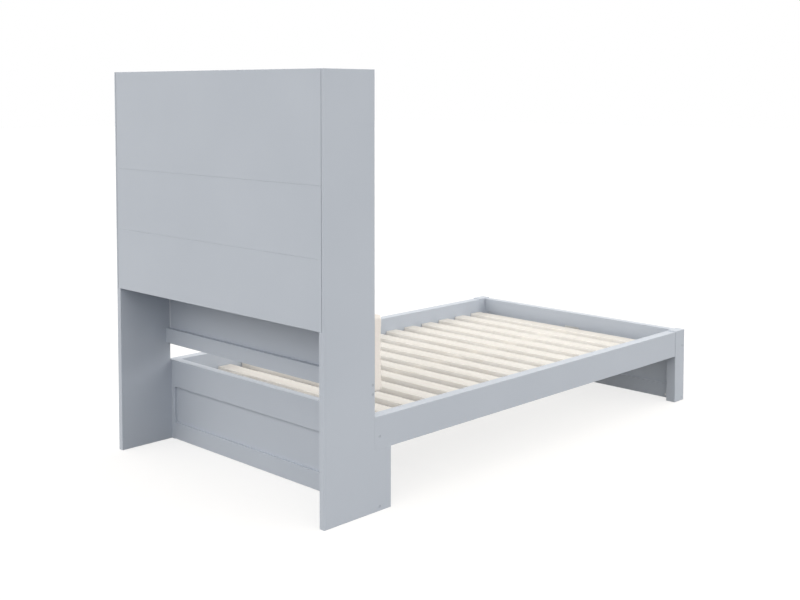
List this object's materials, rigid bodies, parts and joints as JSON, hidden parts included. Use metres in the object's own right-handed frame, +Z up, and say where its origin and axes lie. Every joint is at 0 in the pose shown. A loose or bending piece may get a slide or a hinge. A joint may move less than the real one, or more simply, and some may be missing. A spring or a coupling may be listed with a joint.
{
  "type": "storage bed",
  "caption": "Slatted bed frame with a tall bookcase headboard open to the bed, a padded backrest below its shelves, panelled head and foot frames and clear storage space underneath.",
  "frame": {"origin": "on the floor, in the middle of the bed's outer box", "axes": "+Z up, +Y towards the head of the bed, where the bookcase stands, and +X to the right of a person standing at the foot and looking at the headboard"},
  "size_m": [1.3, 2.315, 1.572],
  "materials": {
    "painted_wood": "satin grey-blue paint",
    "cover_fabric": "cream woven cover",
    "pale_wood": "bare pale softwood, planed",
    "glide_plastic": "matt black",
    "hanger_steel": "zinc-plated sheet",
    "painted_bolts": "satin grey-blue",
    "zinc_fittings": "zinc plated",
    "dowel_wood": "bare beech"
  },
  "bodies": {
    "root": {"side_panel_left": "painted_wood", "side_panel_right": "painted_wood", "top_board": "painted_wood", "shelf_upper": "painted_wood", "shelf_middle": "painted_wood", "shelf_bottom": "painted_wood", "back_board_upper": "painted_wood", "back_board_middle": "painted_wood", "back_board_lower": "painted_wood", "rear_batten": "painted_wood", "backrest_board": "painted_wood", "head_post_left": "painted_wood", "head_post_right": "painted_wood", "head_top_rail": "painted_wood", "head_bottom_rail": "painted_wood", "head_panel": "painted_wood", "side_rail_left": "painted_wood", "side_rail_right": "painted_wood", "rail_liner_left": "painted_wood", "rail_liner_right": "painted_wood", "foot_post_left": "painted_wood", "foot_post_right": "painted_wood", "foot_top_rail": "painted_wood", "foot_bottom_rail": "painted_wood", "foot_panel": "painted_wood", "backrest_pad": "cover_fabric", "slat_ledge_left": "pale_wood", "slat_ledge_right": "pale_wood", "centre_beam": "pale_wood", "centre_leg": "pale_wood", "slat_01": "pale_wood", "slat_02": "pale_wood", "slat_03": "pale_wood", "slat_04": "pale_wood", "slat_05": "pale_wood", "slat_06": "pale_wood", "slat_07": "pale_wood", "slat_08": "pale_wood", "slat_09": "pale_wood", "slat_10": "pale_wood", "slat_11": "pale_wood", "slat_12": "pale_wood", "slat_13": "pale_wood", "slat_14": "pale_wood", "slat_15": "pale_wood", "leg_glide": "glide_plastic", "beam_hangers": "hanger_steel", "corner_bolts": "painted_bolts", "batten_bolts": "painted_bolts", "corner_barrel_nuts": "zinc_fittings", "rail_bolts": "zinc_fittings", "rail_inserts": "zinc_fittings", "shelf_cams": "zinc_fittings", "cam_bolts": "zinc_fittings", "slat_screws": "zinc_fittings", "ledge_screws": "zinc_fittings", "backrest_screws": "zinc_fittings", "hanger_screws": "zinc_fittings", "shelf_dowels": "dowel_wood", "frame_dowels": "dowel_wood"}
  },
  "joints": []
}
